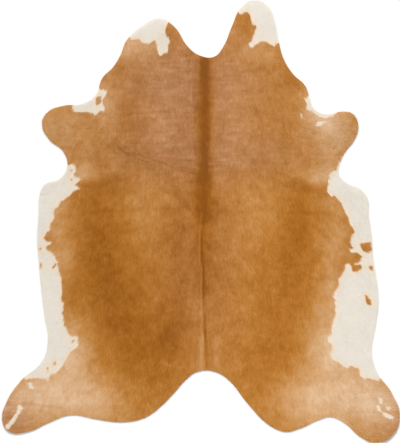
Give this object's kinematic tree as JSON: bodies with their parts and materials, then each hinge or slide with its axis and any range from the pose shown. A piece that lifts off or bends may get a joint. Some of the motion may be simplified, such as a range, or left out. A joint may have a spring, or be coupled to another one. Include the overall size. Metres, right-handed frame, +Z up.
{
  "type": "cowhide rug",
  "caption": "Whole cowhide floor rug in brown and white, lying flat hair side up, cut to the hide's natural outline with cheeks, legs and belly edges.",
  "frame": {"origin": "middle of the bounding box's bottom, on the floor under the hide", "axes": "+Y along the spine towards the neck, +Z up from the floor through the hair side, +X to the right seen from above"},
  "size_m": [1.9856, 2.2096, 0.0103],
  "materials": {
    "hide": "short brown and white hair on suede-backed leather"
  },
  "bodies": {
    "root": {"hide": "hide"}
  },
  "joints": []
}
